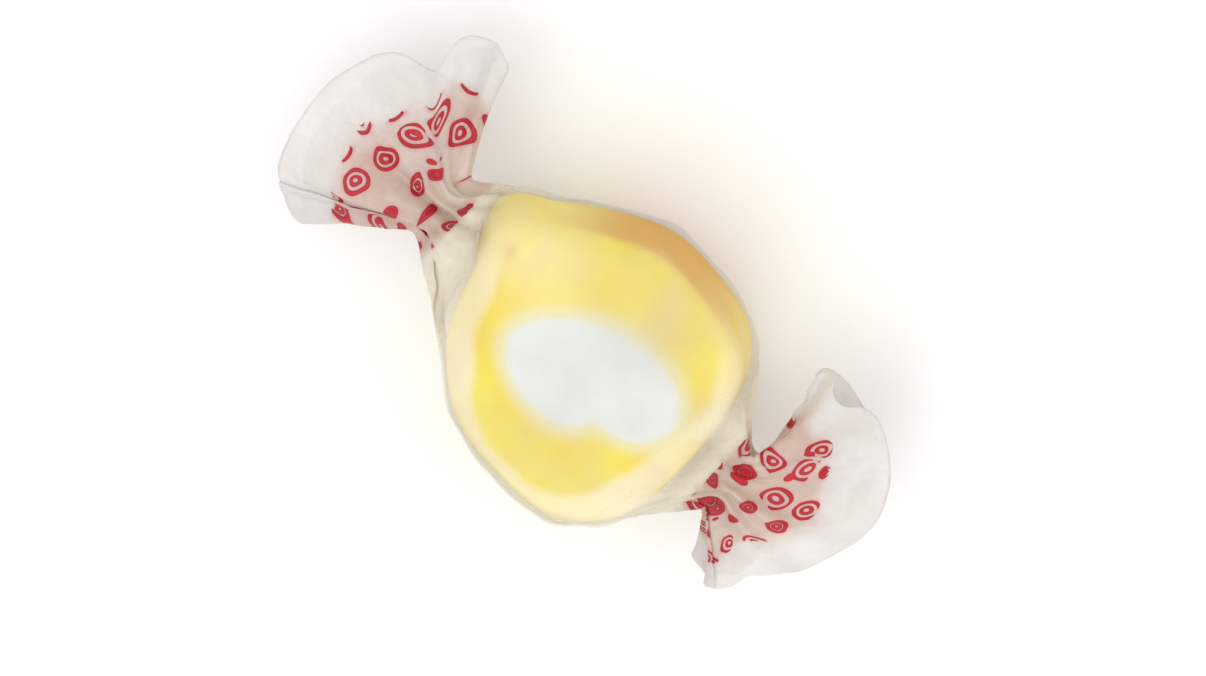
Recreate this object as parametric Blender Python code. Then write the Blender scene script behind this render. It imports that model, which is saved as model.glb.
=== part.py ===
"""A piece of salt water taffy, twist-wrapped in waxed paper.

The sweet is a short length of a yellow rope with a white core, so both cut faces show a ring round a
bean-shaped middle. The rope's axis is Z and the lower cut face lies at the bottom. The paper is rolled
round the sweet along X, twisted into a neck at each end, and flares beyond each neck into a fan.
"""

import math

import bmesh
import bpy
from mathutils import Vector

MM = 0.001

# The cut length of rope: round, with soft edges, and flattened where it lay while it was soft. Each flat
# is (direction from +X, distance from the middle).
TAFFY_RADIUS = 12.4 * MM
TAFFY_FLATS = (
    (math.radians(2), 11.3 * MM),
    (math.radians(85), 11.05 * MM),
    (math.radians(120), 10.75 * MM),
    (math.radians(190), 11.3 * MM),
    (math.radians(228), 10.9 * MM),
    (math.radians(262), 11.1 * MM),
)
TAFFY_CENTRE_X = 0.85 * MM
TAFFY_CENTRE_Y = -0.4 * MM
TAFFY_HEIGHT = 17.7 * MM
EDGE_RADIUS = 1.9 * MM
SIDE_BULGE = 0.4 * MM
CORNER_SHARPNESS = 14

# Where the twist drew the soft rope out towards the larger fan's neck: the direction, length and width
# in plan, and the height above the middle and half width in height.
NOSE_AT = math.radians(164)
NOSE_LENGTH = 2.5 * MM
NOSE_WIDTH = math.radians(15)
NOSE_RISE = 2.0 * MM
NOSE_HALF_HEIGHT = 5.5 * MM

# The white core, a bean in section, off the middle and turned from X.
CORE_HALF_LONG = 7.7 * MM
CORE_HALF_SHORT = 4.65 * MM
CORE_X = 2.2 * MM
CORE_Y = -0.4 * MM
CORE_TURN = math.radians(18)
CORE_NOTCH = 1.4 * MM
CORE_NOTCH_AT = math.radians(-60)
CORE_NOTCH_WIDTH = math.radians(24)

# The waxed paper and the clearance that each touching pair keeps. Twisted paper bunches up in a neck,
# round a fine pore.
PAPER = 0.35 * MM
GAP = 0.3 * MM
NECK_RADIUS = 3.1 * MM
PORE_RADIUS = 0.6 * MM
NECK_X = 15.6 * MM
NECK_LENGTH = 1.2 * MM
BUNCH_START = 13.9 * MM
BUNCH_SHARE = 0.25
PLEATS = 7
PLEAT_DEPTH = 0.5 * MM
PLEAT_START = 8.5 * MM
TWIST_PER_METRE = math.radians(40) / (1 * MM)

# Each fan is the flattened end of the paper's tube, two layers that spread from the neck and wave
# together. Its end of X, its reach from the neck, the direction it leans to and how far it spreads to
# each side of that, its half height and rise at the rim, how much shorter its sides, its -Y half and
# its lower layer are, its wave, its ruffles, and the notches between its lobes as (degrees round from
# +Y, depth as a share of the reach, width in degrees). NECK_SPREAD is the share of the spread that the
# -Y and the +Y side have where they leave the neck. The shorter half runs from SLANT_START, as a share
# of the way to the +Y side, over SLANT_WIDTH. The powers set how sharply the sides grow shorter and how
# late the wave rises.
NECK_SPREAD = (0.7, 1.15)
SLANT_START = 0.3
SLANT_WIDTH = 0.8
SIDE_CUT_POWER = 0.7
WAVE_POWER = 1.5
FANS = (
    {
        "side": -1,
        "reach": 13.1 * MM,
        "lean": math.radians(13.5),
        "spread": math.radians(54.5),
        "half_height": 2.6 * MM,
        "rise": -0.4 * MM,
        "side_cut": 0.25,
        "slant": 0.0,
        "lower_cut": 0.12,
        "wave_height": 2.4 * MM,
        "wave_turns": 0.62,
        "wave_phase": math.radians(35),
        "ruffles": 5,
        "ruffle_height": 0.45 * MM,
        "ruffle_phase": math.radians(20),
        "notches": ((0, 0.08, 22), (62, 0.22, 9), (205, 0.08, 14), (300, 0.2, 12)),
    },
    {
        "side": 1,
        "reach": 12.4 * MM,
        "lean": math.radians(20),
        "spread": math.radians(80),
        "half_height": 2.5 * MM,
        "rise": 0.4 * MM,
        "side_cut": 0.3,
        "slant": 0.38,
        "lower_cut": 0.1,
        "wave_height": 2.2 * MM,
        "wave_turns": 0.7,
        "wave_phase": math.radians(150),
        "ruffles": 5,
        "ruffle_height": 0.45 * MM,
        "ruffle_phase": math.radians(200),
        "notches": ((38, 0.12, 8), (122, 0.1, 12), (255, 0.16, 14)),
    },
)

# How finely each surface is divided.
OUTLINE_STEPS = 48
CORE_STEPS = 40
EDGE_STEPS = 5
SIDE_STEPS = 4
ROUND_STEPS = 64
BODY_STEPS = 18
SHOULDER_STEPS = 5
FAN_STEPS = 6
SEARCH_STEPS = 30
CREASE_ANGLE = math.radians(40)
LEVEL_BELOW = 0.035 * MM

# Worked out from the sizes above.
WALL = PAPER + GAP
TAFFY_BOTTOM = WALL
TAFFY_TOP = TAFFY_BOTTOM + TAFFY_HEIGHT
AXIS_Z = TAFFY_BOTTOM + TAFFY_HEIGHT / 2
NECK_END = NECK_X + NECK_LENGTH
NORMAL_STEP = 0.001


def clear_scene():
    """Remove every object that the scene starts with."""
    for item in list(bpy.data.objects):
        bpy.data.objects.remove(item, do_unlink=True)


def make_material(name, color, roughness, alpha=1.0):
    """Make a Principled material that is not metal."""
    material = bpy.data.materials.new(name)
    material.use_nodes = True
    shader = material.node_tree.nodes["Principled BSDF"]
    shader.inputs["Base Color"].default_value = (*color, 1.0)
    shader.inputs["Roughness"].default_value = roughness
    shader.inputs["Metallic"].default_value = 0.0
    shader.inputs["Alpha"].default_value = alpha
    return material


def yellow_taffy():
    """Chewy lemon-yellow taffy, pulled until it is pale and satin."""
    return make_material("yellow_taffy", (0.91, 0.76, 0.16), 0.45)


def white_taffy():
    """The white core of the rope."""
    return make_material("white_taffy", (0.87, 0.87, 0.84), 0.5)


def waxed_paper():
    """Translucent waxed paper."""
    return make_material("waxed_paper", (0.84, 0.81, 0.78), 0.4, 0.5)


def turned(step, steps):
    """Angle of one step round a full turn."""
    return 2 * math.pi * step / steps


def mix(start, end, share):
    """Read between two values."""
    return start + (end - start) * share


def smooth_step(value):
    """Ease a value from 0 to 1, flat at both ends."""
    share = min(max(value, 0.0), 1.0)
    return share * share * (3 - 2 * share)


def outline_radius(angle):
    """Radius of the rope's section: the least of a circle and its flats, with the corners eased."""
    total = TAFFY_RADIUS ** -CORNER_SHARPNESS
    for direction, distance in TAFFY_FLATS:
        toward = max(math.cos(angle - direction), 0.0)
        total += (toward / distance) ** CORNER_SHARPNESS
    return total ** (-1 / CORNER_SHARPNESS)


def edge_inset(height, grow=0.0):
    """How far the side stands in at a height above the mid plane, through edge round and bulge."""
    half = TAFFY_HEIGHT / 2 + grow
    radius = EDGE_RADIUS + grow
    into_edge = max(abs(height) - (half - radius), 0.0)
    edge = radius - math.sqrt(max(radius ** 2 - into_edge ** 2, 0.0))
    return edge - SIDE_BULGE * (1 - (height / half) ** 2)


def nose(angle, height):
    """How far the rope is drawn out towards a neck, at an angle and a height above the mid plane."""
    away = (angle - NOSE_AT + math.pi) % (2 * math.pi) - math.pi
    up = (height - NOSE_RISE) / NOSE_HALF_HEIGHT
    return NOSE_LENGTH * math.exp(-((away / NOSE_WIDTH) ** 2) - up ** 2)


def side_radius(angle, height, grow=0.0):
    """Radius of the rope's side at a height above the mid plane, grown by a clearance."""
    return outline_radius(angle) + nose(angle, height) + grow - edge_inset(height, grow)


def taffy_point(angle, height):
    """A point on the rope's side."""
    radius = side_radius(angle, height)
    x = TAFFY_CENTRE_X + radius * math.cos(angle)
    return (x, TAFFY_CENTRE_Y + radius * math.sin(angle), AXIS_Z + height)


def core_radius(angle):
    """Radius of the core's bean, measured from its middle and from its long axis."""
    long_part = math.cos(angle) / CORE_HALF_LONG
    short_part = math.sin(angle) / CORE_HALF_SHORT
    ellipse = 1 / math.hypot(long_part, short_part)
    away = (angle - CORE_NOTCH_AT + math.pi) % (2 * math.pi) - math.pi
    return ellipse - CORE_NOTCH * math.exp(-((away / CORE_NOTCH_WIDTH) ** 2))


def core_point(angle, grow, z):
    """A point on the core's outline, moved out from it."""
    radius = core_radius(angle - CORE_TURN) + grow
    return (CORE_X + radius * math.cos(angle), CORE_Y + radius * math.sin(angle), z)


def loft(name, rings, closed, material, collection):
    """Skin a row of rings of equal length, closed into a loop of rings or capped at both ends."""
    mesh = bmesh.new()
    rows = [[mesh.verts.new(point) for point in ring] for ring in rings]
    pairs = list(zip(rows, rows[1:]))
    if closed == "loop":
        pairs.append((rows[-1], rows[0]))
    for lower, upper in pairs:
        count = len(lower)
        for step in range(count):
            after = (step + 1) % count
            mesh.faces.new((lower[step], lower[after], upper[after], upper[step]))
    if closed == "caps":
        mesh.faces.new(list(reversed(rows[0])))
        mesh.faces.new(rows[-1])
    bmesh.ops.recalc_face_normals(mesh, faces=mesh.faces)
    data = bpy.data.meshes.new(name)
    mesh.to_mesh(data)
    mesh.free()
    data.shade_smooth()
    data.set_sharp_from_angle(angle=CREASE_ANGLE)
    data.materials.append(material)
    item = bpy.data.objects.new(name, data)
    collection.objects.link(item)
    return item


def side_profile():
    """Heights up the rope's side, round the lower edge, up the side and round the upper edge."""
    straight = TAFFY_HEIGHT / 2 - EDGE_RADIUS
    lower = [
        -straight - EDGE_RADIUS * math.cos(math.pi / 2 * step / EDGE_STEPS) for step in range(EDGE_STEPS)
    ]
    middle = [straight * (2 * step / SIDE_STEPS - 1) for step in range(SIDE_STEPS + 1)]
    upper = [-height for height in reversed(lower)]
    return lower + middle + upper


def make_taffy(collection):
    """The yellow ring of rope with a channel for its core."""
    angles = [turned(step, OUTLINE_STEPS) for step in range(OUTLINE_STEPS)]
    rings = [[taffy_point(angle, height) for angle in angles] for height in side_profile()]
    for z in (TAFFY_TOP, TAFFY_BOTTOM):
        rings.append([core_point(angle, GAP, z) for angle in angles])
    return loft("taffy", rings, "loop", yellow_taffy(), collection)


def make_core(collection):
    """The white core, cut off level with the ring round it."""
    rings = []
    for z in (TAFFY_BOTTOM, TAFFY_TOP):
        rings.append([core_point(turned(step, CORE_STEPS), 0.0, z) for step in range(CORE_STEPS)])
    return loft("core", rings, "caps", white_taffy(), collection)


def holds(x, y, z, grow):
    """Whether a point lies in the sweet grown by a clearance."""
    half = TAFFY_HEIGHT / 2 + grow
    height = z - AXIS_Z
    if abs(height) > half:
        return False
    along = x - TAFFY_CENTRE_X
    across = y - TAFFY_CENTRE_Y
    return math.hypot(along, across) <= side_radius(math.atan2(across, along), height, grow)


def sweet_reach(x, angle, grow):
    """Distance from the twist's axis to the grown sweet's outside, in the plane at x."""
    low, high = 0.0, 2 * TAFFY_RADIUS
    if not holds(x, 0.0, AXIS_Z, grow):
        return 0.0
    for _ in range(SEARCH_STEPS):
        middle = (low + high) / 2
        if holds(x, middle * math.cos(angle), AXIS_Z + middle * math.sin(angle), grow):
            low = middle
        else:
            high = middle
    return low


def taut_profile(angle, grow, neck):
    """Corners of a line from neck to neck, stretched over the grown sweet like a string."""
    end = TAFFY_RADIUS + NOSE_LENGTH + grow + SIDE_BULGE
    points = [(-NECK_X, neck)]
    steps = 6 * BODY_STEPS
    for step in range(steps + 1):
        x = TAFFY_CENTRE_X + end * math.sin(math.pi * (step / steps - 0.5))
        points.append((x, sweet_reach(x, angle, grow)))
    points.append((NECK_X, neck))
    taut = []
    for x, reach in points:
        while len(taut) > 1:
            (x0, r0), (x1, r1) = taut[-2:]
            if (r1 - r0) * (x - x0) > (reach - r0) * (x1 - x0):
                break
            taut.pop()
        taut.append((x, reach))
    return taut


def read_profile(profile, x):
    """Read a line given by its corners."""
    for (x0, r0), (x1, r1) in zip(profile, profile[1:]):
        if x <= x1:
            return r0 + (r1 - r0) * (x - x0) / (x1 - x0)
    return profile[-1][1]


def pleat(x, angle):
    """Outward height of the gathers that spiral into each neck."""
    share = smooth_step((abs(x) - PLEAT_START) / (NECK_X - PLEAT_START))
    wave = 0.5 + 0.5 * math.cos(PLEATS * angle + TWIST_PER_METRE * x)
    return PLEAT_DEPTH * share * wave


def body_stations():
    """Places along X of the paper's rings, from neck to neck and closest at the shoulders."""
    turns = [math.pi * (step / BODY_STEPS - 0.5) for step in range(BODY_STEPS + 1)]
    body = [TAFFY_CENTRE_X + TAFFY_RADIUS * math.sin(turn) for turn in turns]
    shares = [step / SHOULDER_STEPS for step in range(1, SHOULDER_STEPS + 1)]
    left = [mix(body[0], -NECK_X, share) for share in reversed(shares)]
    right = [mix(body[-1], NECK_X, share) for share in shares]
    return left + body + right


def outer_ring(x, profiles):
    """One ring of the paper's outside, round the sweet or a shoulder, level where it lies flat."""
    ring = []
    for angle, profile in profiles.items():
        reach = read_profile(profile, x) + pleat(x, angle)
        z = AXIS_Z + reach * math.sin(angle)
        if z < LEVEL_BELOW:
            z = 0.0
        ring.append((x, reach * math.cos(angle), z))
    return ring


def inner_ring(x, profiles):
    """One ring of the paper's inside, drawn in to the pore where the paper bunches up."""
    bunch = smooth_step((abs(x) - BUNCH_START) / (NECK_X - BUNCH_START))
    ring = []
    for angle, profile in profiles.items():
        reach = mix(read_profile(profile, x), PORE_RADIUS, bunch)
        ring.append((x, reach * math.cos(angle), AXIS_Z + reach * math.sin(angle)))
    return ring


def fan_length(fan, angle):
    """Share of a fan's reach at an angle, with its short sides, its slant and its notches."""
    across = math.cos(angle)
    share = 1 - fan["side_cut"] * (1 - abs(math.sin(angle)) ** SIDE_CUT_POWER)
    share -= fan["slant"] * smooth_step((SLANT_START - across) / SLANT_WIDTH)
    share -= fan["lower_cut"] * max(0.0, -math.sin(angle))
    for at, depth, width in fan["notches"]:
        away = (math.degrees(angle) - at + 180) % 360 - 180
        share -= depth * math.exp(-((away / width) ** 2))
    return share


def fan_wave(fan, along, across):
    """Height of the wave that both layers share."""
    turn = 2 * math.pi * fan["wave_turns"] * across + fan["wave_phase"]
    return fan["rise"] * along + fan["wave_height"] * along ** WAVE_POWER * math.cos(turn)


def fan_point(fan, along, angle):
    """A point of a fan's outside, 0 along at the neck's end and 1 at the rim."""
    across = math.cos(angle)
    ruffle = math.cos(fan["ruffles"] * angle + fan["ruffle_phase"])
    gather = (1 - along) ** 2 * pleat(fan["side"] * NECK_END, angle)
    spread = fan["spread"] * mix(mix(*NECK_SPREAD, (1 + across) / 2), 1.0, along)
    bearing = fan["lean"] * along + spread * across
    reach = fan["reach"] * along * fan_length(fan, angle)
    half_height = mix(NECK_RADIUS, fan["half_height"], along) + gather
    half_height += fan["ruffle_height"] * along * ruffle
    x = fan["side"] * (NECK_END + reach * math.cos(bearing))
    y = (NECK_RADIUS + gather) * across + reach * math.sin(bearing)
    z = AXIS_Z + fan_wave(fan, along, across) + half_height * math.sin(angle)
    return Vector((x, y, z))


def fan_normal(fan, along, angle):
    """Outward direction of a fan's outside, from two short steps over it."""
    start = max(along, NORMAL_STEP)
    outward = fan_point(fan, start + NORMAL_STEP, angle) - fan_point(fan, start - NORMAL_STEP, angle)
    round_it = fan_point(fan, start, angle + NORMAL_STEP) - fan_point(fan, start, angle - NORMAL_STEP)
    return fan["side"] * round_it.cross(outward).normalized()


def fan_ring(fan, along, inner):
    """One ring of a fan's outside or inside. The inside is drawn in to the pore at the neck."""
    bunch = max(0.0, 1 - along / BUNCH_SHARE) ** 2
    ring = []
    for step in range(ROUND_STEPS):
        angle = turned(step, ROUND_STEPS)
        point = fan_point(fan, along, angle)
        if inner:
            point -= PAPER * fan_normal(fan, along, angle)
            pore = Vector((point.x, PORE_RADIUS * math.cos(angle), AXIS_Z + PORE_RADIUS * math.sin(angle)))
            point = point.lerp(pore, bunch)
        ring.append(point)
    return ring


def skin(inner):
    """Rings of the paper's outside or inside, from the left rim to the right rim."""
    grow = GAP if inner else WALL
    neck = NECK_RADIUS - PAPER if inner else NECK_RADIUS
    angles = [turned(step, ROUND_STEPS) for step in range(ROUND_STEPS)]
    profiles = {angle: taut_profile(angle, grow, neck) for angle in angles}
    left, right = FANS
    to_rim = [step / FAN_STEPS for step in range(FAN_STEPS + 1)]
    body_ring = inner_ring if inner else outer_ring
    rings = [fan_ring(left, along, inner) for along in reversed(to_rim)]
    rings += [body_ring(x, profiles) for x in body_stations()]
    rings += [fan_ring(right, along, inner) for along in to_rim]
    return rings


def make_wrapper(collection):
    """The paper: a tube drawn in at both necks and flared into a fan beyond each."""
    rings = skin(inner=False) + list(reversed(skin(inner=True)))
    return loft("wrapper", rings, "loop", waxed_paper(), collection)


def main():
    """Build the sweet and its wrapper."""
    clear_scene()
    collection = bpy.data.collections.new("wrapped_taffy")
    bpy.context.scene.collection.children.link(collection)
    make_taffy(collection)
    make_core(collection)
    make_wrapper(collection)


main()
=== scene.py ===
"""The looks of one piece of salt water taffy, twist-wrapped in waxed paper.

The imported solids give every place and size. The pieces made here stand for them: the yellow rope, its
white core, and the sheet of waxed paper. The sheet is rolled round the sweet along X with its edges
lapped, twisted into a neck at each end, and flares beyond each neck into a fan. Lengths are in metres,
unless a comment says millimetres. A place round the twist's axis is an angle from +Y towards +Z, and a
place round the rope is an angle from +X towards +Y.
"""

from __future__ import annotations

import logging
import math
from dataclasses import dataclass, field
from enum import Enum
from typing import Any

import bmesh
import bpy
import numpy as np
from mathutils import Matrix, Vector, noise
from mathutils.bvhtree import BVHTree


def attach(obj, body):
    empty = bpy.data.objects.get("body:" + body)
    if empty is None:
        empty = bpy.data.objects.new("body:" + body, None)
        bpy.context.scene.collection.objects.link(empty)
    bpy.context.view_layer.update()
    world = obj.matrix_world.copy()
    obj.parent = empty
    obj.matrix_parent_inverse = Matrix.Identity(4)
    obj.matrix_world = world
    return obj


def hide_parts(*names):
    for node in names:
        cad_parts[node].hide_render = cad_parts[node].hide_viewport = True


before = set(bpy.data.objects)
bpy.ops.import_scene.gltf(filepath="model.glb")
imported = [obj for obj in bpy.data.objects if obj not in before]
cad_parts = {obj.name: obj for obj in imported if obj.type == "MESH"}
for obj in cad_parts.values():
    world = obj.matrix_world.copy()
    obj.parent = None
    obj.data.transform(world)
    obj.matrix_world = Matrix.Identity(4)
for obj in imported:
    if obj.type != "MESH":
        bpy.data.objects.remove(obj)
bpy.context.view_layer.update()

MM = 0.001
TURN = 2 * math.pi
PHOTO_WIDTH = 1206

Pair = tuple[float, float]
Triple = tuple[float, float, float]

log = logging.getLogger("wrapped_taffy")


class End(Enum):
    """The two ends of the twist, by their side of X."""

    LEFT = -1
    RIGHT = 1


class Field(Enum):
    """The attributes that the finishes read."""

    CORE_BLEND = "core_blend"
    HAZE = "haze"
    HAZE_INSIDE = "haze_inside"
    PRINT = "print_zone"
    CREASE = "crease"
    DEEP_AND_SHADE = "deep_and_shade"
    PALE = "pale"
    PAINTED_GLOW = "painted_glow"


def linear(code: str) -> tuple[float, float, float, float]:
    """Turn an sRGB hex colour into linear light.

    Args:
        code: six hex digits.

    Returns:
        Red, green, blue and an alpha of 1.
    """
    parts = [int(code[i : i + 2], 16) / 255 for i in (0, 2, 4)]
    light = [p / 12.92 if p <= 0.04045 else ((p + 0.055) / 1.055) ** 2.4 for p in parts]
    return (light[0], light[1], light[2], 1.0)


def add_node(tree: Any, kind: str, settings: dict | None = None, inputs: dict | None = None) -> Any:
    """Add a node with its settings and its inputs.

    Args:
        tree: the node tree.
        kind: Blender's name for the node's type.
        settings: the node's own settings by name.
        inputs: a value, or an output socket to link, by the input's name or number.

    Returns:
        The node.
    """
    node = tree.nodes.new(kind)
    for name, value in (settings or {}).items():
        setattr(node, name, value)
    for key, value in (inputs or {}).items():
        if isinstance(value, bpy.types.NodeSocket):
            tree.links.new(value, node.inputs[key])
        else:
            node.inputs[key].default_value = value
    return node


def compute(tree: Any, operation: str, *values: Any) -> Any:
    """Add a math node on numbers or outputs, and return its output."""
    return add_node(tree, "ShaderNodeMath", {"operation": operation}, dict(enumerate(values))).outputs[0]


def stored(tree: Any, name: Field) -> Any:
    """Add a node that reads a field of the piece, and return its number."""
    return add_node(tree, "ShaderNodeAttribute", {"attribute_name": name.value}).outputs["Fac"]


def blend(tree: Any, share: Any, start: Any, end: Any) -> Any:
    """Add a node that mixes two colours, and return the mixed one."""
    inputs = {"Factor": share, 6: start, 7: end}
    return add_node(tree, "ShaderNodeMix", {"data_type": "RGBA"}, inputs).outputs[2]


def lumps(tree: Any, place: Any, size: float, detail: float, output: str = "Fac") -> Any:
    """Add a noise node with lumps of a size in metres, and return one of its outputs."""
    inputs = {"Vector": place, "Scale": 1 / size, "Detail": detail}
    return add_node(tree, "ShaderNodeTexNoise", inputs=inputs).outputs[output]


def cells(tree: Any, feature: str, place: Any, size: float, spread: float) -> Any:
    """Add a node that scatters cells over a plane.

    Args:
        tree: the node tree.
        feature: what it measures, by Blender's name.
        place: an output that gives places.
        size: the width of one cell.
        spread: how far the cells' points stray from a square grid, from 0 to 1.

    Returns:
        Its outputs. Their distances are shares of a cell's width.
    """
    settings = {"voronoi_dimensions": "2D", "feature": feature}
    inputs = {"Vector": place, "Scale": 1 / size, "Randomness": spread}
    return add_node(tree, "ShaderNodeTexVoronoi", settings, inputs).outputs


def red(tree: Any, colour: Any) -> Any:
    """Add a node that splits a colour, and return its red."""
    return add_node(tree, "ShaderNodeSeparateColor", inputs={"Color": colour}).outputs["Red"]


def rescale(tree: Any, value: Any, start: float, end: float, low: float = 0.0, high: float = 1.0) -> Any:
    """Add a node that maps a range of numbers onto another and holds it there, and return its result."""
    inputs = {"Value": value, "From Min": start, "From Max": end, "To Min": low, "To Max": high}
    return add_node(tree, "ShaderNodeMapRange", inputs=inputs).outputs["Result"]


def roughen(tree: Any, height: Any, strength: Any, depth: float) -> Any:
    """Add a bump node, and return the normal that it gives."""
    inputs = {"Height": height, "Strength": strength, "Distance": depth}
    return add_node(tree, "ShaderNodeBump", inputs=inputs).outputs[0]


def new_material(name: str) -> bpy.types.Material:
    """Make a material whose node tree is empty.

    Args:
        name: its name.

    Returns:
        The material.
    """
    material = bpy.data.materials.new(name)
    material.use_nodes = True
    material.node_tree.nodes.clear()
    return material


def new_object(name: str, data: Any) -> bpy.types.Object:
    """Make an object and link it into the scene.

    Args:
        name: its name.
        data: its mesh, light or camera.

    Returns:
        The object.
    """
    item = bpy.data.objects.new(name, data)
    bpy.context.scene.collection.objects.link(item)
    return item


def smooth_step(value: np.ndarray) -> np.ndarray:
    """Ease values from 0 to 1, flat at both ends."""
    share = np.clip(value, 0.0, 1.0)
    return share * share * (3 - 2 * share)


def ramp(value: Any, start: Any, end: Any) -> np.ndarray:
    """Ease from 0 at one value to 1 at another, flat past both."""
    return smooth_step((value - start) / (end - start))


def bell(value: Any) -> np.ndarray:
    """Fall from 1 at 0 along a bell curve, which is down to 0.37 at 1."""
    return np.exp(-(value**2))


def mix(start: Any, end: Any, share: Any) -> Any:
    """Read between two values."""
    return start + (end - start) * share


def compass(angle: np.ndarray) -> np.ndarray:
    """Directions in plan at angles from +X, with x and y along a new last axis."""
    return np.stack([np.cos(angle), np.sin(angle)], axis=-1)


def polar(points: np.ndarray, centre: Pair) -> tuple[np.ndarray, np.ndarray]:
    """Read places in plan as an angle and a distance from a centre."""
    x, y = points[..., 0] - centre[0], points[..., 1] - centre[1]
    return np.arctan2(y, x), np.hypot(x, y)


def from_zero(angle: np.ndarray) -> np.ndarray:
    """Turn angles into the half turn on either side of 0."""
    return (angle + math.pi) % TURN - math.pi


def patch(points: np.ndarray, x: float, y: float, width: float) -> np.ndarray:
    """Read a round patch in plan, 1 at its middle. Its place and its width are in millimetres."""
    return bell(np.hypot(points[..., 0] / MM - x, points[..., 1] / MM - y) / width)


def around(grid: np.ndarray) -> np.ndarray:
    """Add up the four neighbours of each place in a grid, whose edges are repeated."""
    wide = np.pad(grid, [(1, 1), (1, 1), (0, 0)][: grid.ndim], mode="edge")
    return wide[:-2, 1:-1] + wide[2:, 1:-1] + wide[1:-1, :-2] + wide[1:-1, 2:]


def smooth_noise(points: np.ndarray, size: float, shift: float) -> np.ndarray:
    """Read smooth noise, from about -1 to 1.

    Args:
        points: places, with x, y and z along the last axis.
        size: the width of one lump of the noise.
        shift: how far the noise is moved, so that two readings differ.

    Returns:
        One value a place.
    """
    flat = points.reshape(-1, 3) / size + shift
    return np.array([noise.noise(Vector(p)) for p in flat]).reshape(points.shape[:-1])


def folds(angle: np.ndarray, count: int, seed: int, softness: float) -> np.ndarray:
    """Read the zigzag of uneven folds round a full turn.

    Args:
        angle: places round the turn.
        count: the number of folds.
        seed: picks the folds' places and heights.
        softness: half the width over which a crease is rounded.

    Returns:
        Heights from -1 in the valleys to 1 on the ridges.
    """
    rng = np.random.default_rng(seed)
    gaps = rng.uniform(0.55, 1.45, 2 * count)
    places = np.cumsum(gaps) / gaps.sum() * TURN
    heights = rng.uniform(0.55, 1.0, 2 * count) * np.tile([1.0, -1.0], count)
    shifts = (-softness, 0.0, softness)
    return sum(np.interp((angle + s) % TURN, places, heights, period=TURN) for s in shifts) / 3


def grid_object(name: str, points: np.ndarray, closed_rows: bool, closed_columns: bool) -> bpy.types.Object:
    """Make a mesh object from a grid of points.

    Args:
        name: the object's name.
        points: places by row and column.
        closed_rows: whether the last row joins the first.
        closed_columns: whether the last column joins the first.

    Returns:
        The object, linked into the scene.
    """
    rows, columns = points.shape[:2]
    index = np.arange(rows * columns).reshape(rows, columns)
    if closed_rows:
        index = np.vstack([index, index[:1]])
    if closed_columns:
        index = np.hstack([index, index[:, :1]])
    quads = np.stack([index[:-1, :-1], index[:-1, 1:], index[1:, 1:], index[1:, :-1]], axis=-1)
    mesh = bpy.data.meshes.new(name)
    mesh.from_pydata(points.reshape(-1, 3).tolist(), [], quads.reshape(-1, 4).tolist())
    mesh.shade_smooth()
    return new_object(name, mesh)


def write_field(item: bpy.types.Object, name: Field, values: np.ndarray) -> None:
    """Store one number a point for a finish to read."""
    attribute = item.data.attributes.new(name.value, "FLOAT", "POINT")
    attribute.data.foreach_set("value", values.astype(np.float32).ravel())


def adopt(item: bpy.types.Object, material: bpy.types.Material, node: str) -> None:
    """Dress a piece and set it in the frame.

    Args:
        item: the piece.
        material: its finish.
        node: the CAD node that it stands for.
    """
    item.data.materials.clear()
    item.data.materials.append(material)
    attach(item, "root")
    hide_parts(node)
    log.info("%s: %d points", item.name, len(item.data.vertices))


@dataclass(frozen=True)
class PulledTaffy:
    """Salt water taffy: boiled sugar and corn syrup, pulled full of air and cut from a rope.

    The air makes it pale and satin. Where it is pinched the air goes, and its colour deepens. Its side is
    painted deeper and more orange as painted shade, and its rim paler, partly as painted light.
    """

    name: str
    colour: str
    deep_and_shade: str
    other: str
    # Painted shade: the deeper orange painted down the side, which also deepens the dimples that the paper
    # pinches.
    squeezed_and_shaded: str = "D5991C"
    # Painted light: the pale colour painted on the rim's bands.
    light_and_shade_wash: str = "FFF5CB"
    mottle: float = 5.0 * MM
    mottle_range: Pair = (0.35, 0.7)
    streak: float = 0.7 * MM
    streak_stretch: Triple = (1.0, 1.0, 0.12)
    grain: float = 0.25 * MM
    relief_strength: float = 0.25
    relief_depth: float = 0.05 * MM
    roughness: float = 0.5
    refraction: float = 1.47
    gloss: float = 0.22

    def material(self) -> bpy.types.Material:
        """Make the finish.

        Returns:
            The material, which fades into the other taffy where the two are pulled together.
        """
        material = new_material(self.name)
        tree = material.node_tree
        place = add_node(tree, "ShaderNodeTexCoord").outputs["Object"]
        mottled = rescale(tree, lumps(tree, place, self.mottle, 3.0), *self.mottle_range)
        own = blend(tree, mottled, linear(self.colour), linear(self.deep_and_shade))
        # Painted shade: the side is painted deeper and more orange, and the dimples deepen where the paper
        # pinches.
        pressed_and_shaded = blend(tree, stored(tree, Field.DEEP_AND_SHADE), own, linear(self.squeezed_and_shaded))
        # Painted light: the rim is painted paler where the paper bends over it. It stands partly for the
        # milky paper there and partly lifts a rim turned away from the lamps.
        waxed = blend(tree, stored(tree, Field.PALE), pressed_and_shaded, linear(self.light_and_shade_wash))
        colour = blend(tree, stored(tree, Field.CORE_BLEND), waxed, linear(self.other))
        # Pulling leaves fine streaks along the rope, which is along Z.
        stretched = {"Vector": place, "Scale": self.streak_stretch}
        along_rope = add_node(tree, "ShaderNodeMapping", inputs=stretched).outputs[0]
        streaks = lumps(tree, along_rope, self.streak, 2.0)
        relief = compute(tree, "ADD", streaks, lumps(tree, place, self.grain, 2.0))
        surface = {
            "Base Color": colour,
            "Roughness": self.roughness,
            "IOR": self.refraction,
            "Specular IOR Level": self.gloss,
            "Normal": roughen(tree, relief, self.relief_strength, self.relief_depth),
        }
        shader = add_node(tree, "ShaderNodeBsdfPrincipled", inputs=surface)
        add_node(tree, "ShaderNodeOutputMaterial", inputs={"Surface": shader.outputs[0]})
        return material


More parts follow.
